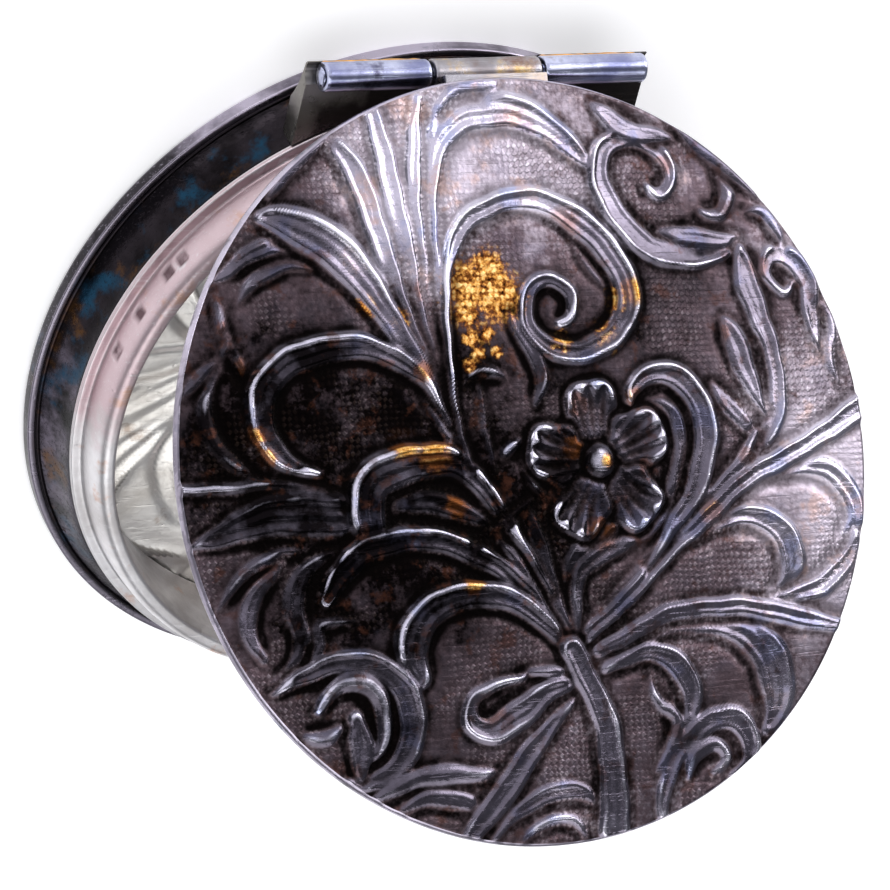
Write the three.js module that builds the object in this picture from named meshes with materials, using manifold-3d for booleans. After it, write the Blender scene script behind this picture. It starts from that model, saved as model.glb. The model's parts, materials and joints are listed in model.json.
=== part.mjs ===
// Round silver pill box: a stamped base, a stamped lid and a three-knuckle hinge.
// Millimetres, +Z up. The origin is the centre of the base's flat underside, the hinge is at +Y
// and runs along X, and the lid stands open by restOpening.

import * as THREE from "three";
import { mergeVertices } from "three/addons/utils/BufferGeometryUtils.js";
import Module from "manifold-3d";

const wasm = await Module();
wasm.setup();

// Driving dimensions
const lidRadius = 20; // outer edge of the lid
const baseRadius = 20.06; // outer edge of the base
const waistRadius = 18.62; // outside of both side walls where the lid meets the base
const hingeY = 20.56; // hinge axis, just behind the walls
const hingeZ = 4.25; // hinge axis, level with the joint between lid and base
const restOpening = THREE.MathUtils.degToRad(40.7); // lid angle from closed

const sheet = 0.4; // thickness of the stamped silver
const edgeRound = 0.4; // outside radius where a face turns down into its skirt
const fitGap = 0.1; // between neighbouring pieces
const lidDome = 0.55; // rise of the lid's face from its edge to its centre

const floorThickness = 0.5;
const baseSkirtTop = 1.05; // the floor's rim stands this high
const ledgeZ = 3.93; // the lid's wall comes down on this ledge
const bezelTop = 6.15; // top of the collar that the lid closes over
const collarFoot = 18.04; // outside radius of the collar, just inside the lid's lip
const bezelInside = 16.7; // inside radius of the box
const lidEdgeZ = 6.4; // widest part of the lid, with the lid closed
const lidSkirtDepth = 0.55; // the lid's rim hangs this far below its widest part

const knuckleRadius = 0.79;
const knuckleBore = 0.38;
const pinRadius = 0.33;
const hingeEnds = [-8.9, 9.85]; // both ends of the barrel
const bracketEnds = [-9.5, 10.4]; // the bracket stands out a little past the barrel
const hingeSplits = [-2.8, 3.65]; // middles of the gaps beside the lid's knuckle
const knuckleGap = 0.24;
const bearerBottom = 2.5; // underside of the base's hinge bearer, at the wall
const bearerTop = 3.8;
const bearerBack = 3.3; // its underside behind the barrel
const bearerReach = 0.5; // how far it stands out behind the hinge axis
const cradleGap = 0.06; // between a knuckle and the groove that it lies in

const roundSegments = 60;
const tubeSegments = 20;

const silver = {
  lidFace: { color: 0x6a6468, roughness: 0.38, metalness: 1 },
  lidWall: { color: 0x77747c, roughness: 0.3, metalness: 1 },
  baseFloor: { color: 0xb9b6b2, roughness: 0.35, metalness: 1 },
  baseWall: { color: 0x2c2a30, roughness: 0.25, metalness: 1 },
  bezel: { color: 0xc4bcc6, roughness: 0.3, metalness: 1 },
  hinge: { color: 0x8c90a8, roughness: 0.22, metalness: 1 },
  bearer: { color: 0x4a484c, roughness: 0.35, metalness: 1 },
  pin: { color: 0x9a9690, roughness: 0.3, metalness: 1 },
};

const point = (x, y) => new THREE.Vector2(x, y);

// Points of an arc from angle `from` to angle `to`, in degrees.
function arc(centreX, centreY, radius, from, to, steps) {
  const points = [];
  for (let i = 0; i <= steps; i++) {
    const angle = THREE.MathUtils.degToRad(from + ((to - from) * i) / steps);
    points.push(point(centreX + radius * Math.cos(angle), centreY + radius * Math.sin(angle)));
  }
  return points;
}

// Points of a hollow (cavetto) curve that is pulled towards `pull`.
function cavetto(start, pull, end, steps) {
  return new THREE.QuadraticBezierCurve(start, pull, end).getPoints(steps);
}

// A profile of (radius, height) turned about Z.
function turned(profile, segments) {
  const geometry = new THREE.LatheGeometry(profile, segments);
  geometry.rotateX(Math.PI / 2);
  return geometry;
}

function ring(profile) {
  return turned([...profile, profile[0]], roundSegments);
}

// Height of the lid's domed face above its edge, at a given radius.
function domeRise(radius) {
  const flat = lidRadius - edgeRound;
  return lidDome * (1 - (radius / flat) ** 2);
}

// The domed face from one radius to another, as profile points.
function domePoints(from, to, height, steps) {
  const points = [];
  for (let i = 0; i <= steps; i++) {
    const radius = from + ((to - from) * i) / steps;
    points.push(point(radius, height + domeRise(radius)));
  }
  return points;
}

function toSolid(geometry) {
  const bare = geometry.index ? geometry.clone() : geometry;
  bare.deleteAttribute("normal");
  bare.deleteAttribute("uv");
  const merged = mergeVertices(bare, 1e-5);
  const vertProperties = new Float32Array(merged.attributes.position.array);
  const triVerts = new Uint32Array(merged.index.array);
  return new wasm.Manifold(new wasm.Mesh({ numProp: 3, vertProperties, triVerts }));
}

function toGeometry(solid) {
  const mesh = solid.getMesh();
  const geometry = new THREE.BufferGeometry();
  geometry.setAttribute("position", new THREE.BufferAttribute(mesh.vertProperties, 3));
  geometry.setIndex(new THREE.BufferAttribute(mesh.triVerts, 1));
  geometry.computeVertexNormals();
  return geometry;
}

function box(x0, x1, y0, y1, z0, z1) {
  const geometry = new THREE.BoxGeometry(x1 - x0, y1 - y0, z1 - z0);
  return geometry.translate((x0 + x1) / 2, (y0 + y1) / 2, (z0 + z1) / 2);
}

// A round bar on the hinge axis.
function axisBar(radius, x0, x1) {
  const geometry = new THREE.CylinderGeometry(radius, radius, x1 - x0, tubeSegments);
  geometry.rotateZ(Math.PI / 2);
  return geometry.translate((x0 + x1) / 2, hingeY, hingeZ);
}

// Outer curve of the base's side wall, from bottom to top.
function baseWallCurve(offset) {
  const foot = point(19.5 + offset, baseSkirtTop);
  const waist = point(waistRadius + offset, ledgeZ - 0.36);
  return cavetto(foot, point(18.66 + offset, 2.2), waist, 6);
}

// Outer curve of the lid's side wall, from bottom to top.
function lidWallCurve(offset) {
  const lip = point(waistRadius + offset, ledgeZ + fitGap + 0.35);
  const shoulder = point(19.45 + offset, lidEdgeZ - lidSkirtDepth);
  return cavetto(lip, point(18.68 + offset, 5.35), shoulder, 4);
}

// The stamped floor is a shallow tray: its rim turns up around the side wall.
function baseFloor() {
  const flat = baseRadius - edgeRound;
  return turned([
    point(0, 0),
    ...arc(flat, edgeRound, edgeRound, -90, 0, 4),
    point(baseRadius - 0.02, baseSkirtTop - 0.12),
    point(baseRadius - 0.12, baseSkirtTop),
    point(baseRadius - sheet, baseSkirtTop),
    point(baseRadius - sheet - 0.04, floorThickness + 0.2),
    point(baseRadius - sheet - 0.24, floorThickness),
    point(0, floorThickness),
  ], roundSegments);
}

// Hollow-curved side wall between the floor's rim and the bezel's flange.
function baseWall() {
  const outer = baseWallCurve(0);
  const inner = baseWallCurve(-sheet).reverse();
  return ring([
    point(19.5, floorThickness + 0.18),
    ...outer,
    ...inner,
    point(19.5 - sheet, floorThickness + fitGap),
    point(19.34, floorThickness + fitGap),
  ]);
}

// Collar that the lid closes over: one strip folded into the ledge that the lid comes down on,
// the collar's outside, its top and the inside wall of the box.
function baseBezel() {
  const foot = floorThickness + fitGap;
  const flange = ledgeZ - 0.3;
  return ring([
    point(waistRadius, flange),
    point(waistRadius, ledgeZ - 0.08),
    point(waistRadius - 0.08, ledgeZ),
    point(collarFoot + 0.08, ledgeZ),
    point(collarFoot, ledgeZ + 0.09),
    point(collarFoot - 0.12, 5.3),
    ...arc(collarFoot - 0.47, bezelTop - 0.3, 0.3, 10, 90, 3),
    ...arc(bezelInside + 0.42, bezelTop - 0.2, 0.2, 90, 175, 3),
    point(bezelInside + 0.05, bezelTop - 0.9),
    point(bezelInside, foot),
    point(bezelInside + 0.3, foot),
    point(bezelInside + 0.38, bezelTop - 0.7),
    point(collarFoot - 0.55, bezelTop - 0.5),
    point(collarFoot - 0.42, 5.2),
    point(collarFoot - 0.35, flange),
  ]);
}

// The stamped lid is a shallow domed dish: its rim turns down around the lid's side wall.
function lidPlate() {
  const flat = lidRadius - edgeRound;
  const skirtBottom = lidEdgeZ - lidSkirtDepth;
  return turned([
    ...domePoints(0, flat - sheet, lidEdgeZ + edgeRound - sheet, 4),
    point(flat, lidEdgeZ - 0.1),
    point(flat, skirtBottom),
    point(lidRadius - 0.12, skirtBottom),
    point(lidRadius - 0.02, skirtBottom + 0.1),
    ...arc(flat, lidEdgeZ, edgeRound, 0, 90, 4),
    ...domePoints(flat, 0, lidEdgeZ + edgeRound, 5).slice(1),
  ], roundSegments);
}

// Hollow-curved side wall of the lid, with a plain lip at its mouth.
function lidWall() {
  const lipBottom = ledgeZ + fitGap;
  const outer = lidWallCurve(0);
  const inner = lidWallCurve(-sheet).reverse();
  return ring([
    point(waistRadius - 0.08, lipBottom),
    point(waistRadius, lipBottom + 0.08),
    ...outer,
    point(19.45, lidEdgeZ - 0.25),
    point(19.45 - sheet, lidEdgeZ - 0.25),
    ...inner,
    point(waistRadius - sheet, lipBottom),
  ]);
}

// One tube of the hinge's barrel, its ends eased.
function knuckle(x0, x1) {
  const ease = 0.06;
  const half = (x1 - x0) / 2;
  const geometry = new THREE.LatheGeometry([
    point(knuckleBore, -half),
    point(knuckleRadius - ease, -half),
    point(knuckleRadius, -half + ease),
    point(knuckleRadius, half - ease),
    point(knuckleRadius - ease, half),
    point(knuckleBore, half),
    point(knuckleBore, -half),
  ], tubeSegments);
  geometry.rotateZ(-Math.PI / 2);
  return geometry.translate((x0 + x1) / 2, hingeY, hingeZ);
}

// Pin through all three knuckles, its ends peened into small heads.
function hingePin() {
  const headRadius = 0.52;
  const headThickness = 0.16;
  const middle = (hingeEnds[0] + hingeEnds[1]) / 2;
  const reach = hingeEnds[1] - middle + 0.04;
  const end = reach + headThickness;
  const geometry = new THREE.LatheGeometry([
    point(0, -end),
    point(headRadius * 0.7, -end + 0.03),
    point(headRadius, -reach - 0.05),
    point(headRadius, -reach),
    point(pinRadius, -reach),
    point(pinRadius, reach),
    point(headRadius, reach),
    point(headRadius, reach + 0.05),
    point(headRadius * 0.7, end - 0.03),
    point(0, end),
  ], tubeSegments);
  geometry.rotateZ(-Math.PI / 2);
  return geometry.translate(middle, hingeY, hingeZ);
}

// Room that the base's side wall and flange need, turned about Z.
function baseWallEnvelope() {
  return turned([
    point(0, 0),
    point(19.5 + fitGap, 0),
    ...baseWallCurve(fitGap),
    point(waistRadius + fitGap, ledgeZ + 1),
    point(0, ledgeZ + 1),
  ], roundSegments);
}

// Room that the lid's side wall and skirt need, turned about Z.
function lidWallEnvelope() {
  const skirtBottom = lidEdgeZ - lidSkirtDepth - fitGap;
  return turned([
    point(0, 0),
    point(waistRadius + fitGap, 0),
    ...lidWallCurve(fitGap).filter((p) => p.y < skirtBottom),
    point(19.4, skirtBottom),
    point(lidRadius + 1, skirtBottom),
    point(lidRadius + 1, lidEdgeZ + 2),
    point(0, lidEdgeZ + 2),
  ], roundSegments);
}

// Bracket between the round base wall and the straight barrel; the outer knuckles lie in it.
function baseHingeBearer() {
  const [left, right] = bracketEnds;
  const front = 14.5;
  const back = hingeY + bearerReach;
  const section = new THREE.Shape();
  section.moveTo(front, bearerBottom);
  section.lineTo(18.4, bearerBottom);
  section.quadraticCurveTo(19.4, bearerBack - 0.15, back - 0.2, bearerBack);
  section.lineTo(back, bearerBack + 0.15);
  section.lineTo(back, bearerTop - 0.1);
  section.lineTo(back - 0.1, bearerTop);
  section.lineTo(front, bearerTop);
  const depth = right - left;
  const block = new THREE.ExtrudeGeometry(section, { depth, bevelEnabled: false, curveSegments: 4 });
  block.rotateY(Math.PI / 2).rotateX(Math.PI / 2);
  block.translate(left, 0, 0);

  const groove = axisBar(knuckleRadius + cradleGap, left - 1, right + 1);
  const lidSpan = box(
    hingeSplits[0] - knuckleGap, hingeSplits[1] + knuckleGap,
    waistRadius, back + 1,
    hingeZ - knuckleRadius - 0.1, bearerTop + 1,
  );
  return toGeometry(
    toSolid(block)
      .subtract(toSolid(baseWallEnvelope()))
      .subtract(toSolid(groove))
      .subtract(toSolid(lidSpan)),
  );
}

// Tab from the lid's side wall to the middle knuckle.
function lidHingeBearer() {
  const [x0, x1] = hingeSplits;
  const block = box(
    x0 + knuckleGap, x1 - knuckleGap,
    waistRadius - 1, hingeY - 0.3,
    hingeZ - 0.1, lidEdgeZ - lidSkirtDepth - fitGap,
  );
  const groove = axisBar(knuckleRadius + cradleGap, x0 - 1, x1 + 1);
  return toGeometry(
    toSolid(block)
      .subtract(toSolid(lidWallEnvelope()))
      .subtract(toSolid(groove)),
  );
}

function piece(name, geometry, look) {
  const mesh = new THREE.Mesh(geometry, new THREE.MeshStandardMaterial(look));
  mesh.name = name;
  return mesh;
}

const halfGap = knuckleGap / 2;
const pillBox = new THREE.Group();

const base = new THREE.Group();
base.add(piece("base_floor", baseFloor(), silver.baseFloor));
base.add(piece("base_wall", baseWall(), silver.baseWall));
base.add(piece("base_bezel", baseBezel(), silver.bezel));
base.add(piece("base_hinge_bearer", baseHingeBearer(), silver.bearer));
base.add(piece("hinge_knuckle_left", knuckle(hingeEnds[0], hingeSplits[0] - halfGap), silver.hinge));
base.add(piece("hinge_knuckle_right", knuckle(hingeSplits[1] + halfGap, hingeEnds[1]), silver.hinge));
base.add(piece("hinge_pin", hingePin(), silver.pin));
pillBox.add(base);

// The lid is built closed, in the base's frame, and swung open about the hinge axis.
const lidSwing = new THREE.Group();
lidSwing.position.set(0, hingeY, hingeZ);
lidSwing.rotation.x = -restOpening;
const lid = new THREE.Group();
lid.position.set(0, -hingeY, -hingeZ);
lid.add(piece("lid_plate", lidPlate(), silver.lidFace));
lid.add(piece("lid_wall", lidWall(), silver.lidWall));
lid.add(piece("lid_hinge_bearer", lidHingeBearer(), silver.bearer));
lid.add(piece(
  "hinge_knuckle_centre",
  knuckle(hingeSplits[0] + halfGap, hingeSplits[1] - halfGap),
  silver.hinge,
));
lidSwing.add(lid);
pillBox.add(lidSwing);

export default pillBox;
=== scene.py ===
# Looks of the round silver pill box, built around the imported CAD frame.
# Shapes are worked out in millimetres in the frame's axes and turned into metres at the end.
# Lid pieces are shaped with the lid closed and then swung open to the angle the box rests at.

import math

import bmesh
import bpy
import numpy as np
from mathutils import Matrix, Vector
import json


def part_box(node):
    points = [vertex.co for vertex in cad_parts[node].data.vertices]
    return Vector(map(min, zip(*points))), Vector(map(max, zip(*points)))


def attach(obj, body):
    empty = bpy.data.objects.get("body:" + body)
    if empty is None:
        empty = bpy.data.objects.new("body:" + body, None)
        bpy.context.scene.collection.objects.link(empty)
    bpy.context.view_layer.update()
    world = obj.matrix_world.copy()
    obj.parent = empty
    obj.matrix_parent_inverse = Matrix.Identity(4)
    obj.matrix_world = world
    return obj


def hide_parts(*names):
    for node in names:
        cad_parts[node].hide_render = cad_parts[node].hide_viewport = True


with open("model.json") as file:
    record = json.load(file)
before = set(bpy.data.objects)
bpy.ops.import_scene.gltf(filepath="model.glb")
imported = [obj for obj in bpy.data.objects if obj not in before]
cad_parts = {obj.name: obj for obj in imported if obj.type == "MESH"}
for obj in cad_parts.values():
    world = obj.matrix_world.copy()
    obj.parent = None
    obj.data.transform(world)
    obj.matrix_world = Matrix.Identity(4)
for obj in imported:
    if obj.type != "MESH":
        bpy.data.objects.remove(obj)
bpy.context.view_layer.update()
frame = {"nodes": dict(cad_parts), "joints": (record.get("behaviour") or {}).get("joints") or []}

MM = 0.001
SEED = 7

# ---------------- sizes from the frame


def corners(node):
    """Lowest and highest corner of a CAD node, in millimetres."""
    return np.array(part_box(node)) / MM


hinge = frame["joints"][0]
_, HINGE_Y, HINGE_Z = np.array(hinge["pos_m"]) / MM
OPENING = math.radians(-hinge["range_deg"][0])

LID_RADIUS = corners("lid_plate")[1][0]
BASE_RADIUS, _, BASE_SKIRT_TOP = corners("base_floor")[1]
COLLAR_TOP = corners("base_bezel")[1][2]
WALL_FOOT, _, WALL_TOP = corners("base_wall")[1]
KNUCKLE_RADIUS = np.ptp(corners("hinge_knuckle_left"), axis=0)[2] / 2

# ---------------- sizes of the sheet and its folds

SHEET = 0.4
WAIST_RADIUS = 18.62
LEDGE_Z = 3.93
COLLAR_FOOT = 18.04
COLLAR_SHOULDER = 17.3
BEZEL_INSIDE = 16.7
FLOOR_THICKNESS = 0.5
LID_EDGE_Z = 6.4
LID_SKIRT = 0.55
EDGE_ROUND = 0.4
LID_DOME = 0.55
LIP_BOTTOM = 4.03
SHOULDER_RADIUS = 19.45
# (radius, height) that the hollow of each side wall is drawn towards.
LID_HOLLOW = (18.68, 5.35)
BASE_HOLLOW = (18.66, 2.2)
# How deep the dents of hand finishing are.
LID_DENT = 0.04
WALL_DENT = 0.03
COLLAR_DENT = 0.02
PIN_BORE = 0.38
PIN_RADIUS = 0.33
PIN_HEAD = 0.52

# Strokes in drawing order: each lies over the ones before it. A stroke has a cross section, a height and
# points of (across, towards the hinge, half width), in hundredths of the lid's radius from its centre.
FLUTED, ROUND, LEAF = "fluted", "round", "leaf"
STROKES = [
    # big arch at the top
    (FLUTED, 0.85, [(-19, 2, 0.8), (-23.5, 20, 1.4), (-25, 42, 1.8), (-24.5, 62, 2.4), (-21.5, 80, 3.4),
        (-13, 89.5, 4.5), (0, 91.5, 4.5), (11, 87.5, 3.6), (19, 81.5, 2.8), (23.5, 76, 1.2)]),
    (ROUND, 0.6, [(-20, 89, 0.8), (-16, 94, 1.6), (-10, 97.5, 2), (-2, 98.5, 2)]),
    # upper right scroll
    (FLUTED, 0.95, [(66, 52, 0.6), (58, 50.5, 2), (48, 50.5, 3), (38, 54.5, 3.2), (30, 63, 3),
        (26.5, 72, 2.8), (29, 80, 2.5), (36, 82.5, 2.2), (43, 81, 2), (47.5, 76, 1.8), (47.5, 70.5, 1.6),
        (44, 67.5, 1.6), (40.5, 69, 1.2)]),
    (LEAF, 0.75, [(43, 57.5, 0.8), (50, 56, 2.2), (58, 55, 2.2), (66, 54.5, 1)]),
    (ROUND, 0.7, [(56, 62, 1), (62, 62, 1.8), (65, 68, 2), (63, 75, 1.2)]),
    (LEAF, 0.8, [(27, 92, 0.8), (31, 88.5, 2.2), (36, 85, 2.6), (44, 83.5, 1.8), (50, 82, 0.6)]),
    (ROUND, 0.6, [(50, 88, 1), (58, 80, 2), (66, 74, 2), (74, 66, 1)]),
    # plume at the right edge
    (FLUTED, 0.8, [(56, -11, 1), (64, -3, 2), (71, 5, 2.4), (74, 14, 2.4), (73.5, 24, 2.2), (70.5, 33, 3),
        (68, 43, 3.4), (67, 52, 1.2)]),
    (LEAF, 0.8, [(69, 8, 0.8), (65, 19, 2.8), (62, 28, 2.8), (59, 34, 0.8)]),
    (LEAF, 0.7, [(67, -1, 0.6), (62, 6, 2), (57, 12, 1.8), (54, 17, 0.6)]),
    (FLUTED, 0.8, [(88, 24, 0.8), (87, 33, 2.4), (87, 42, 2.8), (83, 48.5, 2.8), (76.5, 50, 2.2),
        (74.5, 45, 1.6), (79, 40, 1.2), (82, 42, 1)]),
    (ROUND, 0.6, [(94, 14, 0.6), (91.5, 22, 1.6), (93, 30, 1.4), (91, 37, 0.6)]),
    (ROUND, 0.6, [(70, 62, 0.6), (75, 61, 1.6), (79, 56, 1.4), (80, 53, 0.6)]),
    # long stems to the right edge
    (LEAF, 0.7, [(58, -13, 0.6), (68, -8.5, 1.4), (78, -7, 2), (87, -8.5, 2.6), (93.5, -14.5, 3),
        (94.5, -22, 2.6), (90, -28, 1.8), (86, -33, 0.8)]),
    (FLUTED, 0.85, [(35, -28, 0.6), (44, -23, 1.4), (54, -19.5, 2), (64, -19.5, 2.8), (71, -24, 3.4),
        (73.5, -31, 3.4), (71, -38, 2.4), (66, -40, 1)]),
    (FLUTED, 0.8, [(62, -42, 0.6), (72, -41, 1.8), (82, -39, 2.4), (90, -33, 2.2), (94, -26, 1.2)]),
    (FLUTED, 0.8, [(8, -56, 1), (20, -51, 1.4), (33, -46.5, 2), (45, -45.5, 3), (56, -48.5, 4.2),
        (63, -55, 5), (65.5, -63, 4.8), (64, -71, 3), (60, -76, 1)]),
    (LEAF, 0.9, [(8, -53, 1.2), (20, -48, 1.8), (32, -43.5, 2), (45, -42, 2.2), (58, -43, 2.4),
        (70, -45.5, 2.6), (80, -48.5, 2.2), (90, -50, 1)]),
    (FLUTED, 0.85, [(10, -58, 0.8), (18, -54.5, 1.4), (27, -52.5, 2), (34, -55, 2.8), (38.5, -61, 3),
        (38.5, -68, 2), (36, -72, 0.8)]),
    (LEAF, 0.9, [(7, -46, 1), (20, -36, 1.2), (35, -24, 1.4), (50, -13, 1.4), (60, -5, 1.4), (66, 3, 0.8)]),
    (FLUTED, 1, [(5, -50, 2), (15, -43, 1.8), (30, -31.5, 2), (45, -20.5, 2), (60, -10.5, 2.2),
        (75, -3.5, 2.6), (88, 2, 2.6), (100, 8.5, 3)]),
    # lower right scroll
    (FLUTED, 0.9, [(27, -97, 1.2), (29, -88, 2), (34, -79, 2.4), (42, -72.5, 2.6), (50, -71.5, 2.8),
        (55, -76, 2.8), (55, -83, 2), (50, -87, 1.2)]),
    (ROUND, 0.8, [(36, -86, 0.8), (39, -80, 1.8), (45, -78, 1.8), (48, -82, 1.4), (44, -85, 1)]),
    (ROUND, 0.7, [(27, -60, 0.6), (29, -66, 1.6), (34, -71, 1.6), (31, -78, 1.2), (27, -84, 0.6)]),
    # heart round the flower
    (LEAF, 0.7, [(22, -26, 0.6), (32, -19, 2), (40, -10, 2.6), (43, 0, 2.4), (41, 9, 1.8), (36, 13, 0.8)]),
    (FLUTED, 1, [(30, -30, 0.6), (38, -20, 1.6), (45, -12, 2.4), (49.5, -2, 3), (50.5, 7, 3.2),
        (47, 15.5, 3.2), (40.5, 20, 2.8), (33.5, 19.5, 2.2), (29, 16, 1.6), (28.5, 12.5, 0.8)]),
    # small leaves below the flower
    (LEAF, 0.8, [(4, -32, 0.6), (8, -26, 1.6), (14, -21.5, 2.6), (22, -20, 2.4), (30, -18.5, 0.8)]),
    (FLUTED, 0.75, [(6, -50, 1), (7, -40, 1.4), (9, -31, 1.8), (15, -27, 2), (22, -24, 1.6),
        (30, -20, 0.6)]),
    (LEAF, 0.7, [(4, -45, 1.2), (0, -33, 2), (-2, -22, 2.2), (-4, -14, 1)]),
    # left bundle, from the top leaf down
    (LEAF, 0.8, [(-20, 5, 0.6), (-25.5, 25, 1), (-28, 45, 1.6), (-28, 65, 2), (-26.5, 82, 2),
        (-23.5, 95, 1.2)]),
    (FLUTED, 0.8, [(-19, 0, 0.6), (-26, 20, 1.2), (-30.5, 42, 2), (-32.5, 60, 2.6), (-34.5, 76, 2.8),
        (-37, 92, 2)]),
    (FLUTED, 0.9, [(-18, -5, 0.6), (-26, 16, 1.4), (-33, 36, 2), (-38.5, 56, 2.8), (-42, 72, 3),
        (-47, 82, 2.2), (-51.5, 86.5, 0.6)]),
    (ROUND, 0.6, [(-50, 86, 0.6), (-56, 82, 1.6), (-63, 76, 1.6), (-69, 70, 0.6)]),
    (LEAF, 0.7, [(-56, 53, 1.2), (-65, 54, 2.2), (-74, 50, 1.8), (-80, 44, 0.4)]),
    (LEAF, 0.75, [(-58, 57, 1), (-68, 58.5, 2.2), (-76, 56, 2), (-82, 52, 1.2), (-87, 49, 0.4)]),
    (FLUTED, 1, [(3, -50, 0.8), (-5, -34, 1.4), (-14, -16, 1.6), (-21, 0, 2), (-29, 18, 2.2), (-37, 36, 3),
        (-45, 49, 4.2), (-54, 59, 5), (-64, 64, 4), (-71, 66, 1.4)]),
    (ROUND, 0.6, [(-86, 47, 0.4), (-85, 42, 1.4), (-84, 36, 1.4), (-81, 30, 1.2), (-80, 25, 0.4)]),
    (ROUND, 0.7, [(-78, -1.5, 0.6), (-86, 5, 1.8), (-91, 13, 2), (-90, 22, 1.6), (-86, 30, 1.2),
        (-83, 36, 0.6)]),
    (ROUND, 0.6, [(-98.5, 20, 0.6), (-93, 25, 1.4), (-87, 30, 0.8)]),
    (FLUTED, 1, [(-24, 10, 0.6), (-30, 21, 1.4), (-38, 28, 2.4), (-48, 31.5, 3), (-58, 31.5, 3.4),
        (-68, 28.5, 3.6), (-75.5, 21, 3.6), (-76, 11, 3), (-71, 3.5, 2.2), (-62, 0, 0.8)]),
    # leaves to the left edge
    (ROUND, 0.8, [(-100, -2, 1.4), (-78, -2.2, 1.4), (-60, -4, 0.6)]),
    (ROUND, 0.7, [(-93, -33, 0.6), (-86, -25, 1.4), (-76, -20, 1.6), (-66, -17, 1.2), (-56, -16, 0.6)]),
    (FLUTED, 0.8, [(-99, -17, 0.6), (-88, -13, 3), (-78, -10.5, 4.5), (-68, -10, 5.2), (-59, -11, 5),
        (-56.5, -11.5, 4.5)]),
    (LEAF, 0.7, [(-10, -20, 0.6), (-20, -14, 1.8), (-29, -10.5, 2.8), (-37, -9, 2.4), (-42, -10, 1)]),
    (FLUTED, 1, [(0, -35, 0.6), (-8, -20, 1.4), (-16, -8, 2.2), (-24, 0, 3.4), (-33, 1, 4.2), (-42, 0, 4.6),
        (-48.5, -4, 4.6), (-50, -11, 4.6), (-50, -15.5, 4.2)]),
    (FLUTED, 0.9, [(4, -50, 1), (-4, -38, 1.8), (-14, -28, 2.4), (-25, -21.5, 2.8), (-38, -18.5, 2.8),
        (-50, -20, 3), (-58, -25, 3), (-63, -32, 2)]),
    (FLUTED, 1, [(5, -52, 1), (-1, -44, 1.8), (-9, -37.5, 2.6), (-19, -34, 3), (-29, -34.5, 3.4),
        (-37, -39, 4), (-41, -46, 4.2), (-40, -54, 3)]),
    # lower left leaves and scroll
    (LEAF, 0.7, [(-60, -20, 0.6), (-68, -24, 2), (-72, -32, 2.6), (-71, -41, 2), (-74, -48, 1.4),
        (-80, -52, 0.6)]),
    (LEAF, 0.7, [(-74, -22, 0.6), (-82, -30, 2), (-85, -38, 2), (-82, -46, 1.2)]),
    (ROUND, 0.7, [(-56, -38.5, 0.8), (-65, -38.5, 1.4), (-66.5, -44, 1.4), (-70, -50, 1.2),
        (-77, -53, 0.6)]),
    (FLUTED, 0.9, [(-80, -55, 0.6), (-72, -51, 1.8), (-62, -48.5, 2.6), (-51, -50, 3), (-44, -56.5, 3.2),
        (-42, -65.5, 3.2), (-45.5, -74, 2.8), (-53, -78.5, 2.2), (-62, -79, 1.2)]),
    (ROUND, 0.9, [(-68, -60, 1), (-62, -54.5, 2), (-54, -54.5, 2.2), (-50, -61, 2), (-51, -69, 1.6),
        (-56, -74, 1)]),
    (LEAF, 0.8, [(-58, -78, 0.8), (-57, -70, 3), (-57.5, -63, 2)]),
    (ROUND, 0.7, [(-72, -66, 1), (-67, -67, 2), (-62, -65, 1)]),
    # bottom
    (ROUND, 0.8, [(-56, -84, 0.8), (-44, -80, 2.2), (-32, -79, 2.4), (-20, -80, 1)]),
    (LEAF, 0.7, [(-50, -88, 0.6), (-40, -85, 1.8), (-30, -86, 2), (-24, -90, 1)]),
    (FLUTED, 0.8, [(-22, -97, 0.8), (-14, -90, 1.8), (-3, -86, 2.2), (6, -88, 1.6), (10, -93, 0.6)]),
    (ROUND, 0.7, [(-14, -98, 0.6), (-8, -94, 1.4), (0, -93.5, 1.4), (5, -98, 0.8)]),
    (FLUTED, 0.85, [(6, -60, 0.8), (-2, -68, 1.8), (-10, -76, 2.6), (-18, -85, 3), (-26, -93, 2.6),
        (-30, -98, 2)]),
    (ROUND, 0.8, [(6, -56, 0.8), (-2, -55, 1.4), (-10, -55, 0.8)]),
    (FLUTED, 1, [(6, -58.5, 1.2), (-3, -60, 2.4), (-12, -65.5, 3.4), (-20, -69, 3), (-25.5, -66, 2.2),
        (-24.5, -60, 1.6), (-18, -57.5, 1.2), (-10, -56, 0.8)]),
    (FLUTED, 1, [(5, -50, 3), (9, -60, 3), (13, -70, 3.2), (14, -82, 3.4), (13, -97, 4)]),
    # middle
    (ROUND, 0.6, [(-20, -20, 0.4), (-10, -15, 0.9), (0, -8.5, 0.6)]),
    (ROUND, 0.7, [(-13, 0, 0.6), (-8, 3, 1.6), (-4, 5, 0.6)]),
    (ROUND, 0.7, [(-5, 0, 0.6), (-3, -5, 1.4), (0, -10, 0.8)]),
    (LEAF, 0.8, [(-4, 37, 0.8), (0, 30, 2), (3, 22, 1.8), (1, 14, 0.8)]),
    (ROUND, 0.7, [(-20, 21.5, 0.6), (-14, 23.5, 1.8), (-7, 21.5, 0.6)]),
    (ROUND, 0.6, [(-15, 20, 0.8), (-14.5, 8, 1.2), (-13, -4, 0.8)]),
    # big scroll
    (LEAF, 0.8, [(29, 41, 1), (25, 46, 2.4), (21, 52, 2.4), (16.5, 57, 0.8)]),
    (FLUTED, 1, [(-20, 0, 0.6), (-22.5, 20, 0.8), (-21.8, 40, 1.1), (-19.5, 54, 1.7), (-12, 63.5, 2.4),
        (0, 67.5, 2.6), (11, 66, 3), (21, 59.5, 3.5), (28.5, 50, 3.7), (31, 40, 3.4), (26, 31, 3),
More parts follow.
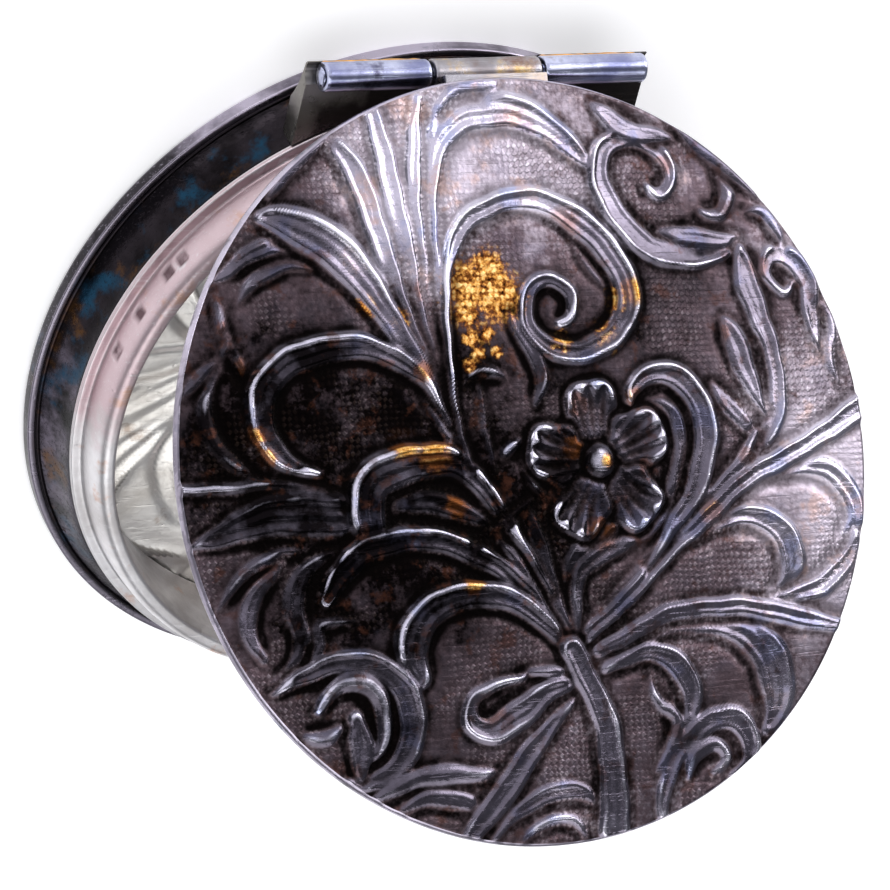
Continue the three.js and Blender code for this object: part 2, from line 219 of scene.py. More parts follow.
        (16.5, 27, 2.7), (7, 28.5, 2.4), (1, 35, 2.1), (2, 43, 1.9), (8, 46.5, 1.7), (13.5, 43, 1.6),
        (14, 37.5, 1.4), (10.5, 34.5, 1.2)]),
]

# ---------------- the stamped ornament

FIELD_CELLS = 1000
FIELD_REACH = 1.02
FIELD_STEP = 2 * FIELD_REACH / (FIELD_CELLS - 1)
GROUND_LEVEL = 0.36
MOAT = 0.022
STROKE_FOOT = 0.12
WIDEN = 1.32
CURVE_STEPS = 12
BEND_WINDOW = 13
TIGHT_BEND = 2.2

FLOWER_PLACE = (0.18, -0.02)
PETALS = 5
PETAL_RING = 0.13
PETAL_LENGTH = 0.092
PETAL_WIDTH = 0.086
FIRST_PETAL = math.radians(95)
BOSS_RADIUS = 0.046


def smooth_step(start, end, value):
    share = np.clip((value - start) / (end - start), 0, 1)
    return share * share * (3 - 2 * share)


def curve_through(points):
    """Catmull-Rom curve through points whose third number is the half width."""
    known = np.array(points, float)
    known = np.vstack([2 * known[0] - known[1], known, 2 * known[-1] - known[-2]])
    found = []
    for i in range(1, len(known) - 2):
        before, start, end, after = known[i - 1:i + 3]
        for t in np.linspace(0, 1, CURVE_STEPS, endpoint=False):
            bend = (2 * before - 5 * start + 4 * end - after) * t * t
            twist = (3 * start - before - 3 * end + after) * t ** 3
            found.append(0.5 * (2 * start + (end - before) * t + bend + twist))
    found.append(known[-2])
    return np.array(found)


def bends(line):
    """How sharply each part of a curve turns: 1 for a tight turn to the left, -1 to the right."""
    runs = np.diff(line[:, :2], axis=0)
    ways = np.unwrap(np.arctan2(runs[:, 1], runs[:, 0]))
    turning = np.gradient(ways) / (np.hypot(runs[:, 0], runs[:, 1]) + 0.002)
    steady = np.pad(turning[2:-2], 2 + BEND_WINDOW // 2, mode="edge")
    mean = np.convolve(steady, np.full(BEND_WINDOW, 1 / BEND_WINDOW), "valid")
    return np.clip(mean / TIGHT_BEND, -1, 1)


def across_stroke(x, y, line):
    """Distance from the stroke's middle as a share of its half width, that half width, and how much
    the place lies on the outside of the stroke's bend, from -1 inside to 1 outside."""
    share = np.full(x.shape, 1e9)
    width = np.ones(x.shape)
    outer = np.zeros(x.shape)
    for start, end, bend in zip(line[:-1], line[1:], bends(line)):
        run = end[:2] - start[:2]
        t = ((x - start[0]) * run[0] + (y - start[1]) * run[1]) / (run @ run + 1e-12)
        t = np.clip(t, 0, 1)
        here = np.maximum(start[2] + (end[2] - start[2]) * t, 0.004)
        away = np.hypot(x - start[0] - t * run[0], y - start[1] - t * run[1]) / here
        left = np.sign(run[0] * (y - start[1]) - run[1] * (x - start[0]))
        nearer = away < share
        share = np.where(nearer, away, share)
        width = np.where(nearer, here, width)
        outer = np.where(nearer, -bend * left, outer)
    return share, width, outer * np.clip(share, 0, 1)


def section_height(section, share, width):
    """Height of a stroke's cross section, from 0 at its edge to about 1."""
    share = np.clip(share, 0, 1)
    if section == FLUTED:
        edges = np.exp(-((share - 0.6) / 0.24) ** 2)
        rib = 0.4 * np.exp(-(share / 0.18) ** 2) * smooth_step(0.028, 0.044, width)
        wide = np.sqrt(1 - share ** 4) * (0.44 + 0.6 * edges + rib)
        narrow = np.sqrt(1 - share ** 2)
        return narrow + (wide - narrow) * smooth_step(0.014, 0.026, width)
    if section == LEAF:
        return np.sqrt(1 - share ** 2.4) * (1 - 0.42 * np.exp(-(share / 0.2) ** 2))
    return np.sqrt(1 - share ** 2)


def add_stroke(height, x, y, section, top, points):
    """Raises a stroke over the field and sinks a moat beside it, deeper on the inside of its bends."""
    line = curve_through(points) / 100
    line[:, 2] *= WIDEN
    reach = line[:, 2].max() + 2 * MOAT
    near = (x > line[:, 0].min() - reach) & (x < line[:, 0].max() + reach)
    near &= (y > line[:, 1].min() - reach) & (y < line[:, 1].max() + reach)
    share, width, outer = across_stroke(x[near], y[near], line)
    beyond = (share - 1) * width
    moat = (0.56 - 0.36 * outer) * smooth_step(MOAT * (1.1 - 0.5 * outer), 0, beyond)
    cut = height[near] * (1 - moat)
    thin = np.clip(width / 0.018, 0.4, 1) ** 0.5
    lean = (0.94 + 0.24 * outer) * section_height(section, share, width)
    raised = STROKE_FOOT + (1 - STROKE_FOOT) * top * thin * lean
    height[near] = np.where(share < 1, np.maximum(raised, cut), cut)


def add_flower(height, x, y):
    """Five dished petals round a boss, cut clear of what lies under them."""
    middle_x, middle_y = FLOWER_PLACE
    for petal in range(PETALS):
        angle = FIRST_PETAL - 2 * math.pi * petal / PETALS
        out = np.array([math.cos(angle), math.sin(angle)])
        dx = x - middle_x - PETAL_RING * out[0]
        dy = y - middle_y - PETAL_RING * out[1]
        along = dx * out[0] + dy * out[1]
        across = dy * out[0] - dx * out[1]
        turn = np.arctan2(across, along + 0.4 * PETAL_LENGTH)
        ruffle = 1 + 0.07 * np.cos(6 * turn)
        share = np.hypot(along / PETAL_LENGTH, across / PETAL_WIDTH) * ruffle
        inside = np.clip(share, 0, 1)
        curl = 0.8 + 0.4 * smooth_step(-0.1, 0.8, along / PETAL_LENGTH)
        dish = curl * np.sqrt(1 - inside ** 6) * (1 - 0.5 * np.clip(1 - (inside / 0.86) ** 3, 0, 1))
        fan = 0.5 + 0.5 * np.cos(30 * across / (along + PETAL_RING + 0.03))
        veins = 1 - 0.45 * smooth_step(1, 0.7, inside) * fan
        cut = height * (1 - 0.85 * smooth_step(1.22, 1.0, share))
        height[:] = np.where(share < 1, np.maximum(cut * (share > 0.9), 1.14 * dish * veins), cut)
    out = np.hypot(x - middle_x, y - middle_y)
    boss = 0.46 + 0.47 * np.sqrt(np.clip(1 - (out / BOSS_RADIUS) ** 2, 0, 1))
    cut = height * smooth_step(BOSS_RADIUS, 1.45 * BOSS_RADIUS, out)
    height[:] = np.where(out < BOSS_RADIUS, boss, np.where(out < 1.45 * BOSS_RADIUS, cut, height))


def blurred(field, reach):
    """Three running means each way, close to a Gaussian of that reach in lid radii."""
    cells = max(1, round(reach / FIELD_STEP))
    width = 2 * cells + 1
    for _ in range(3):
        for axis in (0, 1):
            pads = [(0, 0), (0, 0)]
            pads[axis] = (cells + 1, cells)
            total = np.cumsum(np.pad(field, pads, mode="edge"), axis=axis)
            high = np.take(total, range(width, total.shape[axis]), axis=axis)
            low = np.take(total, range(total.shape[axis] - width), axis=axis)
            field = (high - low) / width
    return field


def ornament_field():
    """Height of the ornament over a square round the lid, from about 0 in the moats to 1."""
    line = np.linspace(-FIELD_REACH, FIELD_REACH, FIELD_CELLS)
    x, y = np.meshgrid(line, line)
    # Lines cut by hand waver a little.
    hand_x = x + 0.0022 * np.sin(23 * y + 5 * x) + 0.0014 * np.sin(61 * y - 17 * x)
    hand_y = y + 0.0022 * np.sin(27 * x - 4 * y) + 0.0014 * np.sin(57 * x + 19 * y)
    height = np.full(x.shape, GROUND_LEVEL)
    for section, top, points in STROKES:
        add_stroke(height, hand_x, hand_y, section, top, points)
    add_flower(height, hand_x, hand_y)
    return height


def sampled(field, x, y):
    """The field at places given in lid radii, between its cells."""
    column = np.clip((x + FIELD_REACH) / FIELD_STEP, 0, FIELD_CELLS - 1.001)
    row = np.clip((y + FIELD_REACH) / FIELD_STEP, 0, FIELD_CELLS - 1.001)
    c, r = column.astype(int), row.astype(int)
    u, v = column - c, row - r
    low = field[r, c] * (1 - u) + field[r, c + 1] * u
    high = field[r + 1, c] * (1 - u) + field[r + 1, c + 1] * u
    return low * (1 - v) + high * v


# How far each smoothing reaches, in lid radii.
DIE_SOFTNESS, SAG_REACH, HOLLOW_REACH, REVERSE_SOFTNESS = 0.0042, 0.045, 0.022, 0.008

stamped = blurred(ornament_field(), DIE_SOFTNESS)
ORNAMENT = 0.84 * stamped + 0.16 * blurred(stamped, SAG_REACH)
HOLLOW = np.clip(0.5 + 1.5 * (blurred(stamped, HOLLOW_REACH) - stamped), 0, 1)
REVERSE = blurred(stamped, REVERSE_SOFTNESS)

# ---------------- mesh helpers


def linked(name, data):
    """A new object of the scene."""
    added = bpy.data.objects.new(name, data)
    bpy.context.scene.collection.objects.link(added)
    return added


def swung(points, angle):
    """Points turned about the hinge, the way the lid opens."""
    back = points[:, 1] - HINGE_Y
    up = points[:, 2] - HINGE_Z
    turned = points.copy()
    turned[:, 1] = HINGE_Y + back * math.cos(angle) + up * math.sin(angle)
    turned[:, 2] = HINGE_Z - back * math.sin(angle) + up * math.cos(angle)
    return turned


# Parts of a stamped sheet, in the order of its materials.
OUTER_SKIN, FOLD, INNER_SKIN = range(3)
# Degrees; an edge never turns by more, so none stays crisp.
NEVER_SHARP = 180


def make_piece(name, points, faces, materials, body, replaced=(), layers=None, sharp=40,
               parts=None):
    """A mesh piece from points in millimetres, outward facing, riding on a body.

    Edges that turn by more than sharp degrees stay crisp. parts gives each point's part where the piece
    has several materials."""
    place = swung(points, OPENING) if body == "lid" else points
    mesh = bpy.data.meshes.new(name)
    mesh.from_pydata((place * MM).tolist(), [], faces)
    for layer, values in {**(layers or {}), "flat_place": points}.items():
        kind = "FLOAT_VECTOR" if np.ndim(values) == 2 else "FLOAT"
        key = "vector" if kind == "FLOAT_VECTOR" else "value"
        attribute = mesh.attributes.new(layer, kind, "POINT")
        attribute.data.foreach_set(key, np.asarray(values, np.float32).ravel())
    shape = bmesh.new()
    shape.from_mesh(mesh)
    bmesh.ops.recalc_face_normals(shape, faces=shape.faces)
    shape.to_mesh(mesh)
    shape.free()
    mesh.shade_smooth()
    mesh.set_sharp_from_angle(angle=math.radians(sharp))
    for material in materials if isinstance(materials, list) else [materials]:
        mesh.materials.append(material)
    if parts is not None:
        mesh.polygons.foreach_set("material_index", [int(max(parts[v] for v in face)) for face in faces])
    piece = linked(name, mesh)
    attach(piece, body)
    if replaced:
        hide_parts(*replaced)


def arc(centre, radius, start, end, steps):
    """(radius, height) points round an arc, angles in degrees."""
    angles = np.radians(np.linspace(start, end, steps + 1))
    return [(centre[0] + radius * math.cos(a), centre[1] + radius * math.sin(a)) for a in angles]


def hollow_curve(start, pull, end, steps):
    """Quadratic curve from start to end, drawn towards pull."""
    t = np.linspace(0, 1, steps + 1)
    weights = np.column_stack([(1 - t) ** 2, 2 * t * (1 - t), t * t])
    return (weights @ np.array([start, pull, end])).tolist()


def refined(profile, longest):
    """The closed profile with its long stretches cut up."""
    points = []
    for start, end in zip(profile, profile[1:] + profile[:1]):
        parts = max(1, math.ceil(math.dist(start, end) / longest))
        points += np.linspace(start, end, parts, endpoint=False).tolist()
    return points


def dented(points, depth, seed):
    """Points moved in towards the axis by a slow, uneven amount, as hand-finished sheet is."""
    chance = np.random.default_rng(seed)
    angle = np.arctan2(points[:, 1], points[:, 0])
    total = np.zeros(len(points))
    for turns in (2, 3, 5, 7, 11, 16):
        total += np.sin(turns * angle + chance.uniform(0, 6.28) + 0.5 * points[:, 2]) / turns ** 0.7
    inward = depth * (total - total.min()) / (total.max() - total.min() + 1e-9)
    radius = np.maximum(np.hypot(points[:, 0], points[:, 1]), 1e-6)
    moved = points.copy()
    moved[:, :2] *= (1 - inward / radius)[:, None]
    return moved


def bands(rows):
    """Quads between rows of point numbers, where each row is a closed ring."""
    quads = []
    for here, after in zip(rows[:-1], rows[1:]):
        quads += np.stack([here, np.roll(here, -1), np.roll(after, -1), after], -1).tolist()
    return quads


def ring_mesh(profile, segments):
    """A closed (radius, height) profile turned about Z."""
    turn = 2 * math.pi * np.arange(segments) / segments
    radius, height = np.array(profile).T
    x = np.outer(np.cos(turn), radius).ravel()
    y = np.outer(np.sin(turn), radius).ravel()
    points = np.column_stack([x, y, np.tile(height, segments)])
    rows = np.arange(len(points)).reshape(segments, len(profile))
    return points, bands(np.vstack([rows, rows[:1]]))


def along_hinge(profile, segments):
    """A closed (distance from the axis, place along it) profile turned about the hinge."""
    points, faces = ring_mesh(profile, segments)
    placed = np.column_stack([points[:, 2], points[:, 0] + HINGE_Y, points[:, 1] + HINGE_Z])
    return placed, faces


def disc_grid(cells):
    """Unit disc as a square grid pressed round, its quads, and its edge in order of angle."""
    line = np.linspace(-1, 1, cells + 1)
    u, v = np.meshgrid(line, line, indexing="ij")
    wide = np.abs(u) > np.abs(v)
    u_safe = np.where(u == 0, 1, u)
    v_safe = np.where(v == 0, 1, v)
    radius = np.where(wide, u, v)
    angle = np.where(wide, math.pi / 4 * v / u_safe, math.pi / 2 - math.pi / 4 * u / v_safe)
    x = (radius * np.cos(angle)).ravel()
    y = (radius * np.sin(angle)).ravel()
    at = np.arange((cells + 1) ** 2).reshape(cells + 1, cells + 1)
    quads = np.stack([at[:-1, :-1], at[1:, :-1], at[1:, 1:], at[:-1, 1:]], -1).reshape(-1, 4)
    edge = np.concatenate([at[-1, :-1], at[:0:-1, -1], at[0, :0:-1], at[:-1, 0]])
    return x, y, quads.tolist(), edge.tolist()


def stamped_tray(outer_cells, ratio, outer_radius, inner_radius, outer_skin, inner_skin, fold):
    """One sheet: an outer skin, its edge folded through rings of (radius, height), and an inner skin.

    outer_skin and inner_skin give a height in millimetres for arrays of x and y. Returns points, faces
    and each point's part."""
    x, y, faces, outer_edge = disc_grid(outer_cells)
    x, y = x * outer_radius, y * outer_radius
    sheets = [np.column_stack([x, y, outer_skin(x, y)])]
    around = 4 * outer_cells
    angle = -math.pi / 4 + 2 * math.pi * np.arange(around) / around
    for radius, height in fold:
        circle = [radius * np.cos(angle), radius * np.sin(angle), np.full(around, height)]
        sheets.append(np.column_stack(circle))
    folded = len(fold) * around
    rings = len(x) + np.arange(folded).reshape(len(fold), around)
    faces += bands([outer_edge, *rings])
    last = rings[-1].tolist()
    start = len(x) + folded
    x, y, quads, inner_edge = disc_grid(outer_cells // ratio)
    x, y = x * inner_radius, y * inner_radius
    sheets.append(np.column_stack([x, y, inner_skin(x, y)]))
    faces += [tuple(start + i for i in reversed(quad)) for quad in quads]
    middle = (ratio - 1) // 2
    for k in range(len(inner_edge)):
        here, after = start + inner_edge[k], start + inner_edge[(k + 1) % len(inner_edge)]
        for part in range(ratio):
            at = k * ratio + part
            inner = (here,) if part < middle else (after, here) if part == middle else (after,)
            faces.append((last[at], last[(at + 1) % around], *inner))
    parts = np.repeat([OUTER_SKIN, FOLD, INNER_SKIN], [len(sheets[0]), folded, len(x)])
    return np.vstack(sheets), faces, parts


BEAD_SIDES = 10


def bead(path, radius):
    """A solid bead of solder along a path, its radius uneven, its ends drawn in."""
    path = np.array(path, float)
    along = np.linspace(0, 1, len(path))
    ends = np.clip(np.minimum(along, 1 - along) / 0.03, 0, 1) ** 0.5
    size = radius * (0.82 + 0.18 * np.sin(37 * along + 2 * np.sin(13 * along))) * np.maximum(ends, 0.15)
    run = np.gradient(path, axis=0)
    side = np.cross(run, [0, 0, 1])
    side, up = (way / np.linalg.norm(way, axis=1)[:, None] for way in (side, np.cross(side, run)))
    turn = 2 * math.pi * np.arange(BEAD_SIDES) / BEAD_SIDES
    lines = [path + size[:, None] * (math.cos(a) * side + math.sin(a) * up) for a in turn]
    points = np.stack(lines, 1).reshape(-1, 3)
    rows = np.arange(len(points)).reshape(len(path), BEAD_SIDES)
    return points, bands(rows) + [rows[0].tolist(), rows[-1, ::-1].tolist()]


# ---------------- silver


def shade(colour):
    """A colour as it looks on a screen, 0 to 255, turned into the light values that shaders use."""
    return (*(c / 255 / 12.92 if c <= 10 else ((c / 255 + 0.055) / 1.055) ** 2.4 for c in colour), 1)


class Shader:
    """A metal material and short ways to add nodes to it. Places are in millimetres."""

    def __init__(self, name):
        self.material = bpy.data.materials.new(name)
        self.material.use_nodes = True
        self.tree = self.material.node_tree
        self.surface = self.tree.nodes["Principled BSDF"]
        self.surface.inputs["Metallic"].default_value = 1
        self.place = self.add("Attribute", attribute_name="flat_place").outputs["Vector"]

    def add(self, kind, sockets=None, **settings):
        node = self.tree.nodes.new("ShaderNode" + kind)
        for key, value in settings.items():
            setattr(node, key, value)
        for socket, value in (sockets or {}).items():
            self.plug(node.inputs[socket], value)
        return node

    def plug(self, target, value):
        if isinstance(value, bpy.types.NodeSocket):
            self.tree.links.new(value, target)
        else:
            target.default_value = value

    def layer(self, name):
        return self.add("Attribute", attribute_name=name).outputs["Fac"]

    def calc(self, operation, *values, clamp=False):
        sockets = dict(enumerate(values))
        return self.add("Math", sockets, operation=operation, use_clamp=clamp).outputs["Value"]

    def times(self, first, second):
        return self.calc("MULTIPLY", first, second)

    def plus(self, start, extra, share, clamp=False):
        """start + extra * share"""
        return self.calc("ADD", start, self.times(extra, share), clamp=clamp)

    def vector(self, operation, first, second):
        return self.add("VectorMath", {0: first, 1: second}, operation=operation).outputs["Vector"]

    def step(self, value, start, end, low=0, high=1):
        """Smooth change from low to high as value goes from start to end."""
        sockets = {"Value": value, "From Min": start, "From Max": end, "To Min": low, "To Max": high}
        return self.add("MapRange", sockets, interpolation_type="SMOOTHSTEP").outputs["Result"]

    def noise(self, scale, detail, rough, offset, place=None):
        """Noise with about `scale` features in a millimetre."""
        shifted = self.vector("ADD", place or self.place, (offset, 1.7 * offset, -offset))
        sockets = {"Vector": shifted, "Scale": scale, "Detail": detail, "Roughness": rough}
        return self.add("TexNoise", sockets).outputs["Fac"]

    def swing(self, *settings):
        """Noise from -0.5 to 0.5."""
        return self.calc("SUBTRACT", self.noise(*settings), 0.5)

    def blend(self, share, first, second, kind="MIX"):
        """Mixes two colours, each from a node or as it looks on a screen."""
        colours = [c if isinstance(c, bpy.types.NodeSocket) else shade(c) for c in (first, second)]
        sockets = dict(zip((0, 6, 7), (share, *colours)))
        return self.add("Mix", sockets, data_type="RGBA", blend_type=kind).outputs[2]

    def ramp(self, value, colours):
        """Colour that runs through evenly spaced colours as value goes from 0 to 1."""
        node = self.add("ValToRGB", {"Fac": value})
        stops = node.color_ramp.elements
        for _ in colours[2:]:
            stops.new(0.5)
        for k, colour in enumerate(colours):
            stops[k].position = k / (len(colours) - 1)
            stops[k].color = shade(colour)
        return node.outputs["Color"]

    def scratches(self):
        """Fine handling scratches, 0 to 1, few of them deep: noise drawn out in three directions."""
        lines = []
        for k, turn in enumerate(((0.3, 0.2, 0.5), (0.1, 0.4, 1.9), (0.5, -0.3, 2.7))):
            sockets = {"Vector": self.place, "Rotation": turn, "Scale": (0.12, 5, 5)}
            drawn_out = self.add("Mapping", sockets).outputs["Vector"]
            lines.append(self.step(self.noise(1, 3, 0.6, 11 * k, drawn_out), 0.62, 0.7))
        return self.calc("MAXIMUM", self.calc("MAXIMUM", lines[0], lines[1]), lines[2])

    def finish(self, colour, roughness, bumps):
        """Wires the colour, the roughness and bumps of (height, depth in millimetres)."""
        self.plug(self.surface.inputs["Base Color"], colour)
        self.plug(self.surface.inputs["Roughness"], roughness)
        normal = {}
        for height, depth in bumps:
            sockets = {"Height": height, "Distance": depth * MM, "Strength": 1, **normal}
            normal = {"Normal": self.add("Bump", sockets).outputs["Normal"]}
        self.plug(self.surface.inputs["Normal"], normal["Normal"])
        return self.material


CREVICE_DIRT = (26, 20, 20)
MARK_DIRT = (84, 62, 68)


def worn_silver(name, clean, dull, films, rough, film_share=0.5, wear=0.6, uneven=1, crevices=0.8,
                marked=None, cast=None):
    """Plain silver sheet: dulled in clouds, filmed with tarnish colours, rubbed bright on its edges.

    films are tarnish colours, each in its own patches; rough is (rubbed, dull) roughness; marked names the
    layer where dirt sits in punch marks; cast is a layer, the colour laid on the silver there and how
    strongly, which on some pieces is a painted highlight or painted shade."""
    s = Shader(name)
    clouds = s.noise(0.22, 5, 0.6, 3)
    colour = s.blend(s.step(clouds, 0.36, 0.64), clean, dull)
    if cast:
        layer, tint, strength = cast
        share = s.step(s.plus(s.layer(layer), s.swing(0.5, 5, 0.6, 61), 1.2), 0.25, 0.75)
        colour = s.blend(s.times(share, strength), colour, tint)
    for k, film in enumerate(films):
        patch = s.noise(0.34, 6, 0.62, 17 + 9 * k)
        share = s.step(patch, 0.66 - 0.22 * film_share, 0.74 - 0.1 * film_share)
        colour = s.blend(s.times(share, 0.85), colour, film)
    # Pointiness is 0.5 on flat silver, more on edges and less in corners.
    edges = s.add("NewGeometry").outputs["Pointiness"]
    colour = s.blend(s.times(s.step(edges, 0.508, 0.54), wear), colour, clean)
    colour = s.blend(s.times(s.step(edges, 0.492, 0.46), crevices), colour, CREVICE_DIRT)
    lines = s.scratches()
    colour = s.blend(s.times(lines, 0.35), colour, clean)
    if marked:
        dirt = s.step(s.noise(1.4, 3, 0.5, 51), 0.3, 0.6, 0.35, 0.9)
        colour = s.blend(s.times(s.layer(marked), dirt), colour, MARK_DIRT)
    grain = s.noise(3, 4, 0.6, 5)
    swing = s.calc("SUBTRACT", grain, 0.5)
    roughness = s.plus(s.step(clouds, 0.3, 0.7, *rough), swing, 0.16 * uneven, clamp=True)
    pits = s.step(s.noise(1.1, 2, 0.5, 41), 0.3, 0.22)
    return s.finish(colour, roughness, [(grain, 0.012 * uneven), (lines, -0.006), (pits, -0.02 * uneven)])


CANVAS_PITCH = 0.33
# Each list runs from bright silver to silver black as tarnish and painted reflection darken it, or from
# dark to bright gilt colours for the painted warm reflections and glints.
SCROLL_TONES = [(206, 200, 216), (118, 112, 125), (17, 14, 16)]
CREST_TONES = [(255, 252, 255), (232, 228, 242), (216, 212, 228)]
GROUND_TONES = [(186, 176, 188), (88, 74, 79), (6, 4, 4)]
KNOT_TONES = [(232, 224, 236), (130, 118, 124), (36, 28, 25)]
GILT_TONES = [(24, 12, 6), (122, 70, 30), (212, 152, 74), (248, 208, 136)]
BLUSH = (206, 160, 132)
COOL_TINT = (188, 212, 255)
FILM_BROWN = (70, 42, 32)
SOOT = (7, 5, 5)


def canvas_knots(s):
    """The canvas the die leaves on the ground: the knots, and how brightly each is rubbed."""
    woven = s.place
    for scale, reach in ((0.6, 0.5), (2.6, 0.16)):
        wander = s.add("TexNoise", {"Vector": s.place, "Scale": scale, "Detail": 1.0}).outputs["Color"]
        woven = s.vector("ADD", woven, s.vector("MULTIPLY", wander, (reach, reach, 0)))
    split = s.add("SeparateXYZ", {"Vector": woven})
    waves = []
    for axis in ("X", "Y"):
        turns = s.calc("ADD", s.times(split.outputs[axis], 2 * math.pi / CANVAS_PITCH), -math.pi / 2)
        waves.append(s.calc("SINE", turns))
    knots = s.step(s.calc("ADD", *waves), -0.5, 1.3)
    cell = s.vector("SNAP", woven, (CANVAS_PITCH, CANVAS_PITCH, 9))
    lot = s.add("TexWhiteNoise", {"Vector": cell}).outputs["Value"]
    return knots, s.times(knots, lot)


def oxidised_relief(name):
    """Stamped silver: rubbed scrolls with bright crests, browned canvas ground, soot beside the scrolls,
    tarnish with painted reflection, and painted warm reflections and glints in gilt colours.
    """
    s = Shader(name)
    relief, hollow, gilt = (s.layer(layer) for layer in ("relief", "hollow", "gilt"))
    uneven = s.noise(0.9, 5, 0.6, 2)
    blotches = s.swing(0.42, 6, 0.62, 8)
    specks = s.swing(3.2, 3, 0.6, 13)
    # The tarnish layer carries painted reflection as well as tarnish: darker where the lid would mirror
    # dark surroundings, brighter where it would mirror a light.
    ragged = s.plus(s.layer("tarnish"), blotches, 0.95)
    smooth = s.calc("ADD", ragged, 0, clamp=True)  # only clamped
    tarnish = s.plus(ragged, specks, 0.5, clamp=True)
    knots, rubbed = canvas_knots(s)
    woven = s.step(s.noise(0.2, 3, 0.5, 23), 0.42, 0.6, 0.15, 1)

    # The scrolls against the ground, each toned by its tarnish and painted reflection.
    height = s.plus(relief, uneven, 0.2)
    top = s.step(height, 0.42, 0.66)
    ground = s.calc("SUBTRACT", 1, top)
    edge = s.step(s.plus(hollow, uneven, -0.2), 0.1, -0.06, 0, 0.85)
    crest = s.calc("MAXIMUM", s.step(height, 0.84, 1.02), edge)
    scroll = s.blend(crest, s.ramp(smooth, SCROLL_TONES), s.ramp(smooth, CREST_TONES))
    cool = s.step(s.noise(0.36, 3, 0.55, 83), 0.54, 0.66, 0, 0.45)
    scroll = s.blend(cool, scroll, COOL_TINT, "MULTIPLY")
    field = s.blend(s.times(rubbed, woven), s.ramp(tarnish, GROUND_TONES), s.ramp(tarnish, KNOT_TONES))
    colour = s.blend(top, field, scroll)
    film = s.step(s.noise(0.7, 4, 0.6, 31), 0.56, 0.66, 0, 0.5)
    colour = s.blend(s.times(film, s.step(tarnish, 0.15, 0.5)), colour, FILM_BROWN)
    blush = s.step(s.noise(0.5, 4, 0.6, 71), 0.52, 0.66, 0, 0.4)
    colour = s.blend(s.times(blush, s.step(tarnish, 0.5, 0.1)), colour, BLUSH)

    # Painted warm reflections in gilt colours on the ground and painted glints on the scrolls, then soot
    # over all.
    # Painted warm reflection: gilt colours laid on the ground at its patches.
    shine = s.plus(s.times(rubbed, 0.5), specks, 2.6)
    gold = s.ramp(s.plus(shine, gilt, 0.56, clamp=True), GILT_TONES)
    frayed = s.plus(gilt, s.calc("ADD", blotches, specks), 0.5)
    colour = s.blend(s.times(s.step(frayed, 0.16, 0.7), s.step(relief, 0.7, 0.5)), colour, gold)
    # Painted glints: gilt sparks laid on the scroll tops.
    glint = s.plus(s.layer("glint"), specks, 0.8)
    colour = s.blend(s.times(s.step(glint, 0.15, 0.7, 0, 0.4), top), colour, GILT_TONES[1])
    spark = s.ramp(s.calc("ADD", s.times(specks, 2.4), 0.6), GILT_TONES[1:])
    colour = s.blend(s.times(s.step(glint, 0.3, 0.8), s.step(relief, 0.68, 0.84)), colour, spark)
    soot = s.step(s.plus(hollow, uneven, 0.5), 0.74, 1.06)
    colour = s.blend(s.times(soot, s.step(tarnish, 0.25, 0.75, 0.34, 0.98)), colour, SOOT)

    dull = s.plus(s.step(ground, 0, 1, 0.18, 0.36), soot, 0.2)
    roughness = s.plus(dull, specks, 0.2, clamp=True)
    canvas = s.times(s.times(knots, woven), ground)
    return s.finish(colour, roughness, [(canvas, 0.022), (uneven, 0.035), (s.scratches(), -0.005)])


relief_silver = oxidised_relief("oxidised_relief_silver")
inner_lid_silver = worn_silver(
    "lid_inside_silver", (206, 202, 200), (168, 160, 156), [(150, 130, 108)], (0.26, 0.4),
)
wall_silver = worn_silver(
    "dark_polished_silver", (40, 36, 40), (7, 6, 6), [(9, 8, 9), (92, 62, 32), (26, 60, 82)],
    (0.16, 0.3), film_share=0.6, cast=("mottled", (112, 104, 118), 0.85),
)
lid_wall_silver = worn_silver(
    "lid_wall_silver", (176, 172, 184), (96, 90, 98), [(60, 46, 38), (70, 82, 110)], (0.18, 0.32),
)
collar_silver = worn_silver(
    "bezel_silver", (226, 224, 226), (196, 192, 192), [(200, 160, 138)], (0.36, 0.46),
    film_share=0.36, crevices=0.3, marked="struck", cast=("rosy", (204, 178, 184), 0.8),
)
# Dirt and painted shade: the floor is painted darker in its grooves.
floor_silver = worn_silver(
    "floor_silver", (238, 235, 230), (212, 207, 200), [(170, 152, 138)], (0.3, 0.42),
    film_share=0.2, cast=("creases", (104, 97, 90), 0.8),
)
hinge_silver = worn_silver(
    "hinge_silver", (196, 200, 222), (124, 128, 164), [(70, 66, 92), (116, 84, 50)],
    (0.17, 0.24), film_share=0.3, uneven=0.35,
)
centre_hinge_silver = worn_silver(
    "centre_hinge_silver", (176, 174, 180), (128, 122, 124), [(206, 170, 92), (120, 84, 66)],
    (0.24, 0.34), film_share=0.75, uneven=0.6,
)
# Its left end is painted pale, a painted highlight where light falls on the end face.
bracket_silver = worn_silver(
    "bracket_silver", (62, 58, 56), (11, 10, 10), [(8, 7, 7), (56, 38, 24)], (0.24, 0.4),
    cast=("rubbed_end", (196, 192, 184), 0.9),
)
solder_silver = worn_silver(
    "solder_silver", (214, 160, 92), (140, 88, 44), [(60, 40, 28)], (0.26, 0.4),
)
rim_silver = worn_silver(
    "rim_silver", (190, 182, 198), (110, 104, 116), [(24, 22, 26), (36, 60, 82), (72, 56, 44)],
    (0.24, 0.36), film_share=0.35, wear=0.5, cast=("soot", (15, 12, 14), 0.94),
)

# ---------------- the lid

RELIEF_DEPTH = 0.46
REVERSE_DEPTH = 0.32
LID_CELLS = 288
LID_RATIO = 3
LID_FLAT = LID_RADIUS - EDGE_ROUND
LID_INSIDE = LID_FLAT - SHEET
LID_FACE_EDGE = LID_RADIUS - 0.14
LID_SHOULDER = LID_EDGE_Z - LID_SKIRT
WALL_SEGMENTS = 256
PLAIN_TARNISH = 0.52
